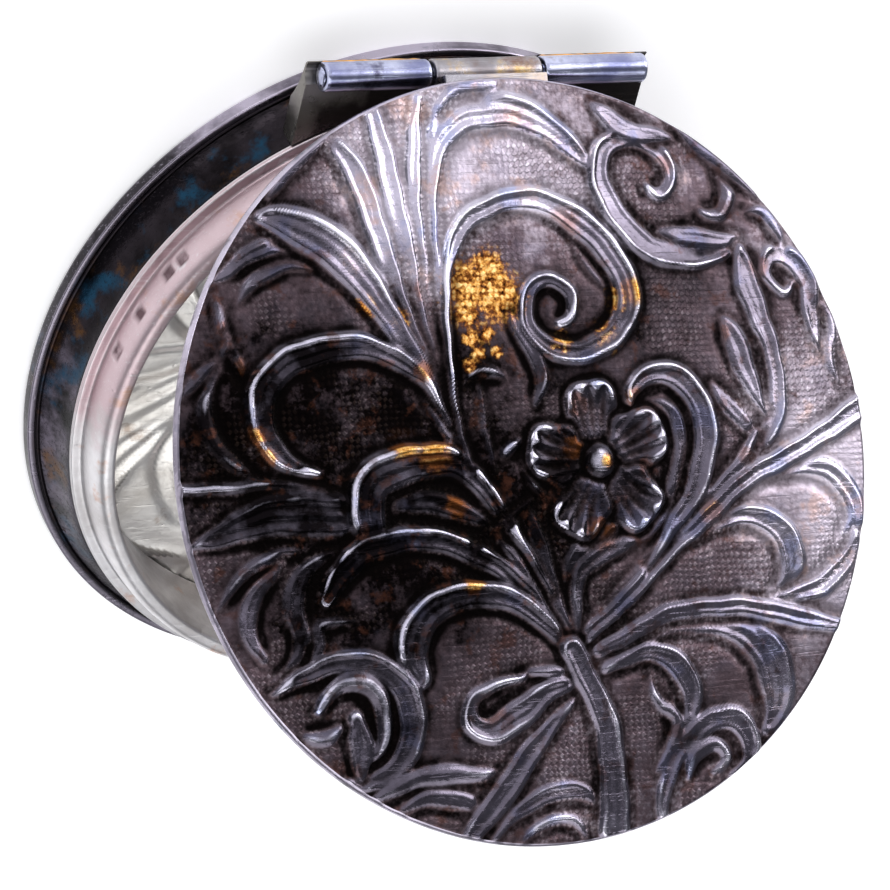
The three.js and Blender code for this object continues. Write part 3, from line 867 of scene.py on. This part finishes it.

# Places on the ornament, in hundredths of the lid's radius: (across, towards the hinge, reach). The tarnish
# and reflection table has a fourth number, how much blacker, or when negative how much brighter, the silver
# is there; it paints reflection as well as tarnish.
TARNISH = [
    (-60, 14, 36, 45), (-25, -10, 34, 34), (16, -5, 27, 34), (-60, -36, 30, 36), (-85, 5, 24, 30),
    (-12, -38, 25, 12), (-14, 82, 36, -42), (-32, 60, 22, -28), (92, -10, 26, -46), (88, -42, 24, -26),
    (88, 18, 22, -8), (12, 38, 20, 26), (42, 36, 22, 18), (-60, 62, 20, 20), (-45, -85, 25, 20),
    (78, 50, 24, -12), (-15, 28, 8, 50), (-5, 56, 9, 30), (60, 52, 26, 12), (86, -40, 16, 12),
]
# Painted warm reflections: patches where the ground is painted in gilt colours for warm light it would
# reflect.
GILT_PATCHES = [
    (-15, 45, 8), (-7, 43, 8), (-16, 39, 5), (-9, 49, 6), (-16, 32, 2.4), (-11, 33, 2.4), (-14, 28, 2),
    (-9, 28, 1.8), (-17, 25, 1.8), (24, 30, 4), (29, 40, 4), (10, 30, 3), (-36, 38, 3), (-44, 42, 3),
]
# Painted glints: spots where the scroll tops are painted as gilt sparks.
GLINTS = [
    (2, 87.5, 5), (6, 86, 4), (14, 60, 5), (33, 42, 4), (20, -2, 2), (-38, 5.5, 4.5), (-30, 3.5, 5),
    (-79, 10, 3), (-76, 4.5, 3), (17, -21, 4), (-20, -63, 4), (-28, 45, 3.5), (-30, 24, 3), (46, 75, 3),
    (72, 47, 3), (13, 13, 3), (30, 14, 3), (58, 30, 3), (62, -3, 2.5), (50, -17, 3.5), (-84, 38, 2.5),
    (-80, 28, 2.5), (-22, -31, 3), (-25, -11, 3), (10, 2, 3),
]


def spot(x, y, across, back, reach):
    """1 at one place, fading to 0 round it over its reach; all in lid radii."""
    return np.exp(-((x - across) ** 2 + (y - back) ** 2) / reach ** 2)


def patches(x, y, places):
    """Soft round patches, 0 to 1, at places given in lid radii."""
    return np.max([spot(x, y, *place) for place in np.array(places) / 100], axis=0)


def tarnish_at(x, y):
    """How dark the ornament is, 0 to 1, at places given in lid radii: tarnish and painted reflection
    together.
    """
    spots = [amount * spot(x, y, *place) for *place, amount in np.array(TARNISH) / 100]
    return np.clip(PLAIN_TARNISH + sum(spots), 0, 1)


def stamped_layers(x, y, **more):
    """What the silver of a stamped sheet looks up at its points, placed on the die in its radii."""
    none = np.zeros(len(x))
    return {
        "relief": sampled(ORNAMENT, x, y), "hollow": sampled(HOLLOW, x, y), "tarnish": tarnish_at(x, y),
        "soot": none, "gilt": none, "glint": none, **more,
    }


def lid_dome(radius):
    return LID_EDGE_Z + EDGE_ROUND + LID_DOME * (1 - (radius / LID_FLAT) ** 2)


def lid_face_height(x, y):
    radius = np.hypot(x, y)
    raised = np.clip(sampled(ORNAMENT, x / LID_RADIUS, y / LID_RADIUS), 0, 1)
    turned_down = np.sqrt(EDGE_ROUND ** 2 - np.clip(radius - LID_FLAT, 0, EDGE_ROUND) ** 2)
    highest = np.where(radius > LID_FLAT, LID_EDGE_Z + turned_down, lid_dome(radius))
    return np.minimum(lid_dome(radius) - RELIEF_DEPTH * (1 - raised), highest)


def lid_inside_height(x, y):
    radius = np.hypot(x, y)
    raised = sampled(REVERSE, x / LID_RADIUS, y / LID_RADIUS)
    fade = smooth_step(LID_INSIDE, LID_INSIDE - 1.2, radius)
    return lid_dome(radius) - SHEET - fade * REVERSE_DEPTH * (0.55 - raised)


def make_lid_plate():
    fold = [(LID_RADIUS - 0.05, LID_EDGE_Z - 0.08), (LID_RADIUS - 0.015, LID_EDGE_Z - 0.16)]
    fold += [(LID_RADIUS - 0.01, LID_SHOULDER + 0.16)]
    fold += arc((LID_RADIUS - 0.13, LID_SHOULDER + 0.12), 0.12, 0, -90, 3)
    fold += [(LID_FLAT + 0.06, LID_SHOULDER), (LID_FLAT, LID_SHOULDER + 0.06), (LID_FLAT, LID_EDGE_Z - 0.1)]
    points, faces, parts = stamped_tray(
        LID_CELLS, LID_RATIO, LID_FACE_EDGE, LID_INSIDE, lid_face_height, lid_inside_height, fold,
    )
    x, y = points[:, 0] / LID_RADIUS, points[:, 1] / LID_RADIUS
    layers = stamped_layers(x, y, gilt=patches(x, y, GILT_PATCHES), glint=patches(x, y, GLINTS))
    make_piece(
        "lid_stamped_plate", dented(points, LID_DENT, SEED), faces,
        [relief_silver, rim_silver, inner_lid_silver], "lid", ["lid_plate"],
        layers, NEVER_SHARP, parts,
    )


def make_lid_wall():
    foot, shoulder = (WAIST_RADIUS, LIP_BOTTOM + 0.35), (SHOULDER_RADIUS, LID_SHOULDER)
    outer = hollow_curve(foot, LID_HOLLOW, shoulder, 14)
    inner = [(radius - SHEET, height) for radius, height in reversed(outer)]
    profile = [(WAIST_RADIUS - 0.1, LIP_BOTTOM), (WAIST_RADIUS - 0.03, LIP_BOTTOM + 0.03)]
    profile += [(WAIST_RADIUS, LIP_BOTTOM + 0.1)] + outer
    profile += [(SHOULDER_RADIUS, LID_EDGE_Z - 0.27), (SHOULDER_RADIUS - 0.03, LID_EDGE_Z - 0.25)]
    profile += [(SHOULDER_RADIUS - SHEET, LID_EDGE_Z - 0.25)] + inner
    profile += [(WAIST_RADIUS - SHEET, LIP_BOTTOM + 0.06), (WAIST_RADIUS - SHEET + 0.06, LIP_BOTTOM)]
    points, faces = ring_mesh(profile, WALL_SEGMENTS)
    make_piece(
        "lid_side_wall", dented(points, WALL_DENT, SEED + 1), faces, lid_wall_silver, "lid",
        ["lid_wall"],
    )


# ---------------- the base

BASE_CELLS = 200
BASE_RATIO = 1
BASE_FLAT = BASE_RADIUS - EDGE_ROUND
BASE_INSIDE = BASE_RADIUS - SHEET - 0.24
BASE_FOOT = FLOOR_THICKNESS + 0.1
BASE_RELIEF = 0.28
FLOOR_RELIEF = 0.5
PLAIN_BORDER = 0.4
DIE_TURN = math.radians(312)
FLANGE_Z = LEDGE_Z - 0.3


def die_places(x, y):
    """Where a place on the floor lies on the die, in its radii."""
    c, s = math.cos(DIE_TURN), math.sin(DIE_TURN)
    return (c * x + s * y) / BASE_RADIUS, (s * x - c * y) / BASE_RADIUS


def underside_height(x, y):
    raised = np.clip(sampled(ORNAMENT, *die_places(x, y)), 0, 1)
    fade = smooth_step(BASE_FLAT, BASE_FLAT - PLAIN_BORDER, np.hypot(x, y))
    return BASE_RELIEF * (1 - raised) * fade


def floor_height(x, y):
    raised = sampled(REVERSE, *die_places(x, y))
    fade = smooth_step(BASE_INSIDE, BASE_INSIDE - 1.5, np.hypot(x, y))
    return FLOOR_THICKNESS + fade * FLOOR_RELIEF * (0.42 - raised)


def make_base_floor():
    fold = arc((BASE_FLAT, EDGE_ROUND), EDGE_ROUND, -78, 0, 6)
    fold += [(BASE_RADIUS - 0.01, BASE_SKIRT_TOP - 0.14)]
    fold += arc((BASE_RADIUS - 0.13, BASE_SKIRT_TOP - 0.12), 0.12, 0, 90, 3)
    fold += [(BASE_RADIUS - SHEET + 0.04, BASE_SKIRT_TOP), (BASE_RADIUS - SHEET, BASE_SKIRT_TOP - 0.04)]
    fold += [(BASE_RADIUS - SHEET - 0.04, FLOOR_THICKNESS + 0.2)]
    points, faces, parts = stamped_tray(
        BASE_CELLS, BASE_RATIO, BASE_FLAT, BASE_INSIDE, underside_height, floor_height, fold,
    )
    x, y = die_places(points[:, 0], points[:, 1])
    # Dirt and painted shade: the floor's grooves are marked to be painted darker.
    creases = smooth_step(0.3, 0.17, sampled(REVERSE, x, y))
    # The rim is darker but for the part beside the hinge.
    soot = smooth_step(17.5, 11.0, points[:, 1])
    layers = stamped_layers(x, y, soot=soot, creases=creases)
    make_piece(
        "base_stamped_floor", dented(points, WALL_DENT, SEED + 2), faces,
        [relief_silver, rim_silver, floor_silver], "base", ["base_floor"],
        layers, NEVER_SHARP, parts,
    )


def make_base_wall():
    outer = hollow_curve((WALL_FOOT, BASE_SKIRT_TOP), BASE_HOLLOW, (WAIST_RADIUS, WALL_TOP), 20)
    inner = [(radius - SHEET, height) for radius, height in reversed(outer)]
    profile = [(WALL_FOOT, BASE_FOOT + 0.08)] + outer + inner
    profile += [(WALL_FOOT - SHEET, BASE_FOOT), (WALL_FOOT - 0.16, BASE_FOOT)]
    points, faces = ring_mesh(profile, WALL_SEGMENTS)
    make_piece(
        "base_side_wall", dented(points, WALL_DENT, SEED + 3), faces, wall_silver, "base",
        ["base_wall"], {"mottled": smooth_step(12, -4, points[:, 1]) * 0.46},
    )


# Small blank square punch marks on the outside of the collar: (angle round the box, height).
MARKS = [(146, 4.75), (149.5, 4.7), (158, 4.8), (166, 4.75)]
MARK_SIZE = 0.8
MARK_DEPTH = 0.09


def make_collar():
    profile = [(WAIST_RADIUS, FLANGE_Z), (WAIST_RADIUS, LEDGE_Z - 0.12)]
    profile += arc((WAIST_RADIUS - 0.1, LEDGE_Z - 0.1), 0.1, 0, 90, 4)
    profile += arc((COLLAR_FOOT + 0.14, LEDGE_Z + 0.16), 0.16, -100, -178, 6)
    start, end = (COLLAR_FOOT - 0.05, LEDGE_Z + 0.67), (COLLAR_SHOULDER, COLLAR_TOP)
    profile += hollow_curve(start, (COLLAR_FOOT - 0.1, COLLAR_TOP), end, 16)
    profile += arc((BEZEL_INSIDE + 0.42, COLLAR_TOP - 0.25), 0.25, 90, 175, 8)
    profile += [(BEZEL_INSIDE + 0.05, COLLAR_TOP - 0.9), (BEZEL_INSIDE, BASE_FOOT)]
    profile += [(BEZEL_INSIDE + 0.3, BASE_FOOT), (BEZEL_INSIDE + 0.38, COLLAR_TOP - 0.7)]
    profile += [(COLLAR_FOOT - 0.55, COLLAR_TOP - 0.5), (COLLAR_FOOT - 0.42, 5.2)]
    profile += [(COLLAR_FOOT - 0.35, FLANGE_Z)]
    points, faces = ring_mesh(refined(profile, 0.16), 640)
    radius = np.hypot(points[:, 0], points[:, 1])
    angle = np.arctan2(points[:, 1], points[:, 0])
    outside = (radius > COLLAR_FOOT - 0.2) & (points[:, 2] > LEDGE_Z + 0.2)
    struck = np.zeros(len(points))
    for degrees, height in MARKS:
        around = (angle - math.radians(degrees)) * COLLAR_FOOT
        reach = np.maximum(np.abs(around), np.abs(points[:, 2] - height)) / (MARK_SIZE / 2)
        struck = np.maximum(struck, smooth_step(1.15, 0.65, reach) * outside)
    points[:, :2] *= (1 - MARK_DEPTH * struck / radius)[:, None]
    make_piece(
        "base_collar", dented(points, COLLAR_DENT, SEED + 4), faces, collar_silver, "base",
        ["base_bezel"], {"struck": struck, "rosy": smooth_step(-0.35, 0.35, np.sin(angle))},
    )


# ---------------- the hinge

TUBE_EASE = 0.07
SEAM_ANGLE = math.radians(-12)
SEAM_DEPTH = 0.04
TUBE_WEAR = 0.0025


def make_knuckle(side, material, body, seed):
    """A rolled tube: eased ends, a seam where the sheet closes, and slight wear."""
    node = f"hinge_knuckle_{side}"
    (start, *_), (end, *_) = corners(node)
    profile = [(PIN_BORE, start + 0.02), (PIN_BORE + 0.03, start)]
    profile += [(KNUCKLE_RADIUS - TUBE_EASE, start), (KNUCKLE_RADIUS - 0.02, start + 0.02)]
    profile += [(KNUCKLE_RADIUS, x) for x in np.linspace(start + TUBE_EASE, end - TUBE_EASE, 40)]
    profile += [(KNUCKLE_RADIUS - 0.02, end - 0.02), (KNUCKLE_RADIUS - TUBE_EASE, end)]
    profile += [(PIN_BORE + 0.03, end), (PIN_BORE, end - 0.02)]
    points, faces = along_hinge(profile, 96)
    back, up = points[:, 1] - HINGE_Y, points[:, 2] - HINGE_Z
    angle = np.arctan2(up, back)
    outside = np.hypot(back, up) > KNUCKLE_RADIUS - 0.05
    seam = np.exp(-((angle - SEAM_ANGLE) / 0.05) ** 2) * SEAM_DEPTH
    chance = np.random.default_rng(seed)
    waves = sum(
        np.sin(rate * points[:, 0] + 2 * angle + chance.uniform(0, 6.28)) for rate in (0.9, 1.7, 2.9)
    )
    shrink = (seam + TUBE_WEAR * (waves + 3)) * outside / KNUCKLE_RADIUS
    points[:, 1] -= back * shrink
    points[:, 2] -= up * shrink
    if body == "lid":
        points = swung(points, -OPENING)
    make_piece(f"{side}_tube", points, faces, material, body, [node])


def make_pin():
    """The pin, its ends hammered into low domed heads."""
    (start, *_), (end, *_) = corners("hinge_pin")
    middle = (start + end) / 2
    tip = end - middle
    reach = corners("hinge_knuckle_right")[1][0] + 0.04 - middle
    half = [(0.02, tip), (PIN_HEAD * 0.45, tip - 0.012), (PIN_HEAD * 0.75, tip - 0.04)]
    half += [(PIN_HEAD * 0.95, tip - 0.09), (PIN_HEAD, reach + 0.02), (PIN_HEAD - 0.02, reach)]
    half += [(PIN_RADIUS, reach)]
    profile = half + [(radius, -x) for radius, x in reversed(half)]
    points, faces = along_hinge([(radius, middle + x) for radius, x in profile], 40)
    make_piece("pin_with_heads", points, faces, hinge_silver, "base", ["hinge_pin"])


def eased_copy(node, name, material, body, width):
    """A CAD bracket with its edges eased, as a file leaves them."""
    shape = bmesh.new()
    shape.from_mesh(frame["nodes"][node].data)
    bmesh.ops.remove_doubles(shape, verts=shape.verts, dist=0.002 * MM)
    bmesh.ops.dissolve_limit(
        shape, angle_limit=math.radians(4), verts=shape.verts, edges=shape.edges,
        use_dissolve_boundaries=False,
    )
    sharp_edges = [e for e in shape.edges if e.is_manifold and e.calc_face_angle(0) > math.radians(35)]
    bmesh.ops.bevel(
        shape, geom=sharp_edges, offset=width * MM, segments=3, profile=0.6, affect="EDGES",
        clamp_overlap=True,
    )
    bmesh.ops.triangulate(shape, faces=[f for f in shape.faces if len(f.verts) > 4])
    shape.verts.index_update()
    points = np.array([v.co for v in shape.verts]) / MM
    faces = [tuple(v.index for v in f.verts) for f in shape.faces]
    shape.free()
    end = points[:, 0].min()
    # Painted highlight: the last 0.4 mm of the left end is marked to be painted pale.
    layers = {"rubbed_end": smooth_step(end + 0.4, end + 0.1, points[:, 0])}
    if body == "lid":
        points = swung(points, -OPENING)
    make_piece(name, points, faces, material, body, [node], layers, 50)


BEAD_RADIUS = 0.1
BEAD_WAVER = 0.02
# Beads along the outer tubes: (name, place behind the box's middle, height, how fast it wavers).
TUBE_BEADS = [("rear", 21.02, 3.56, 3), ("front", 19.88, 3.82, 2.6)]
CENTRE_BEAD = (20.12, 4.93)
# Seams round the box: (name, body, radius, height, thickness).
SEAMS = [
    ("solder_foot_seam", "base", WALL_FOOT + 0.03, BASE_SKIRT_TOP - 0.02, 0.13),
    ("solder_ledge_seam", "base", WAIST_RADIUS - 0.1, (WALL_TOP + FLANGE_Z) / 2, 0.085),
    ("solder_lid_seam", "lid", SHOULDER_RADIUS + 0.03, LID_SHOULDER + 0.02, 0.12),
]


def make_solder():
    """Uneven beads of solder where the tubes lie on the bracket and where the walls meet."""
    for side in ("left", "right"):
        (start, *_), (end, *_) = corners(f"hinge_knuckle_{side}")
        for place, back, height, rate in TUBE_BEADS:
            stops = np.linspace(start + 0.15, end - 0.1, 50)
            path = [(x, back, height + BEAD_WAVER * math.sin(rate * x)) for x in stops]
            points, faces = bead(path, BEAD_RADIUS)
            name = f"solder_{side}_tube_{place}"
            make_piece(name, points, faces, solder_silver, "base")
    (start, *_), (end, *_) = corners("hinge_knuckle_centre")
    stops = np.linspace(start + 0.15, end - 0.15, 30)
    points, faces = bead([(x, *CENTRE_BEAD) for x in stops], BEAD_RADIUS)
    make_piece("solder_centre_tube", points, faces, solder_silver, "lid")
    for name, body, radius, height, size in SEAMS:
        points, faces = ring_mesh(arc((radius, height), size, 0, 330, 11), 240)
        points = dented(points, WALL_DENT, SEED + 6)
        make_piece(name, points, faces, wall_silver, body)


make_lid_plate()
make_lid_wall()
make_base_floor()
make_base_wall()
make_collar()
make_knuckle("left", hinge_silver, "base", SEED + 7)
make_knuckle("right", hinge_silver, "base", SEED + 8)
make_knuckle("centre", centre_hinge_silver, "lid", SEED + 9)
make_pin()
eased_copy("base_hinge_bearer", "base_hinge_bracket", bracket_silver, "base", 0.07)
eased_copy("lid_hinge_bearer", "lid_hinge_tab", centre_hinge_silver, "lid", 0.05)
make_solder()

# ---------------- floor, light and camera

FLOOR_SIZE = 1.6
# Like a light table, to give a white background.
FLOOR_GLOW = 0.42
CAMERA_PLACE = Vector((-0.1176, 0.14466, 0.20096))
CAMERA_RIGHT = Vector((0.8948, 0.2122, 0.3928))
CAMERA_UP = Vector((0.0602, 0.8145, -0.577))
CAMERA_LENS = 200.8


def make_floor():
    mesh = bpy.data.meshes.new("floor")
    reach = FLOOR_SIZE / 2
    corner_signs = ((-1, -1), (1, -1), (1, 1), (-1, 1))
    mesh.from_pydata([(reach * x, reach * y, 0) for x, y in corner_signs], [], [(0, 1, 2, 3)])
    floor = linked("floor", mesh)
    material = bpy.data.materials.new("pale_floor")
    material.use_nodes = True
    surface = material.node_tree.nodes["Principled BSDF"]
    surface.inputs["Base Color"].default_value = (0.86, 0.86, 0.87, 1)
    surface.inputs["Roughness"].default_value = 0.7
    surface.inputs["Emission Color"].default_value = (1, 1, 1, 1)
    surface.inputs["Emission Strength"].default_value = FLOOR_GLOW
    mesh.materials.append(material)


def add_softbox(name, direction, distance, width, height, power, colour):
    """A soft rectangular lamp that faces the object from a direction."""
    lamp = bpy.data.lights.new(name, "AREA")
    lamp.shape = "RECTANGLE"
    lamp.size = width
    lamp.size_y = height
    lamp.energy = power
    lamp.color = colour
    holder = linked(name, lamp)
    way = Vector(direction).normalized()
    holder.location = way * distance
    holder.rotation_mode = "QUATERNION"
    holder.rotation_quaternion = way.to_track_quat("Z", "Y")
    holder.visible_camera = False


def add_camera():
    data = bpy.data.cameras.new("camera")
    data.lens = CAMERA_LENS
    data.sensor_width = 36
    data.clip_start = 0.01
    camera = linked("camera", data)
    right = CAMERA_RIGHT.normalized()
    back = right.cross(CAMERA_UP).normalized()
    up = back.cross(right)
    turned = Matrix((right, up, back)).transposed().to_4x4()
    camera.matrix_world = Matrix.Translation(CAMERA_PLACE) @ turned
    bpy.context.scene.camera = camera


def set_world():
    world = bpy.data.worlds.new("studio")
    world.use_nodes = True
    background = world.node_tree.nodes["Background"]
    background.inputs["Color"].default_value = (0.9, 0.92, 1, 1)
    background.inputs["Strength"].default_value = 0.24
    bpy.context.scene.world = world
    bpy.context.scene.view_settings.view_transform = "Standard"


make_floor()
set_world()
add_softbox("key", (0.66, 0.67, 0.34), 0.4, 0.2, 0.2, 0.45, (1, 0.98, 1))
add_softbox("back_panel", (0.1, 0.9, 0.42), 0.8, 0.8, 0.8, 1.7, (0.95, 0.94, 1))
add_softbox("overhead", (-0.15, -0.2, 0.97), 1.0, 1.4, 1.4, 10.0, (1, 1, 1))
add_softbox("back_strip", (-0.47, 0.87, 0.16), 0.4, 0.3, 0.07, 0.2, (1, 1, 1))
add_camera()
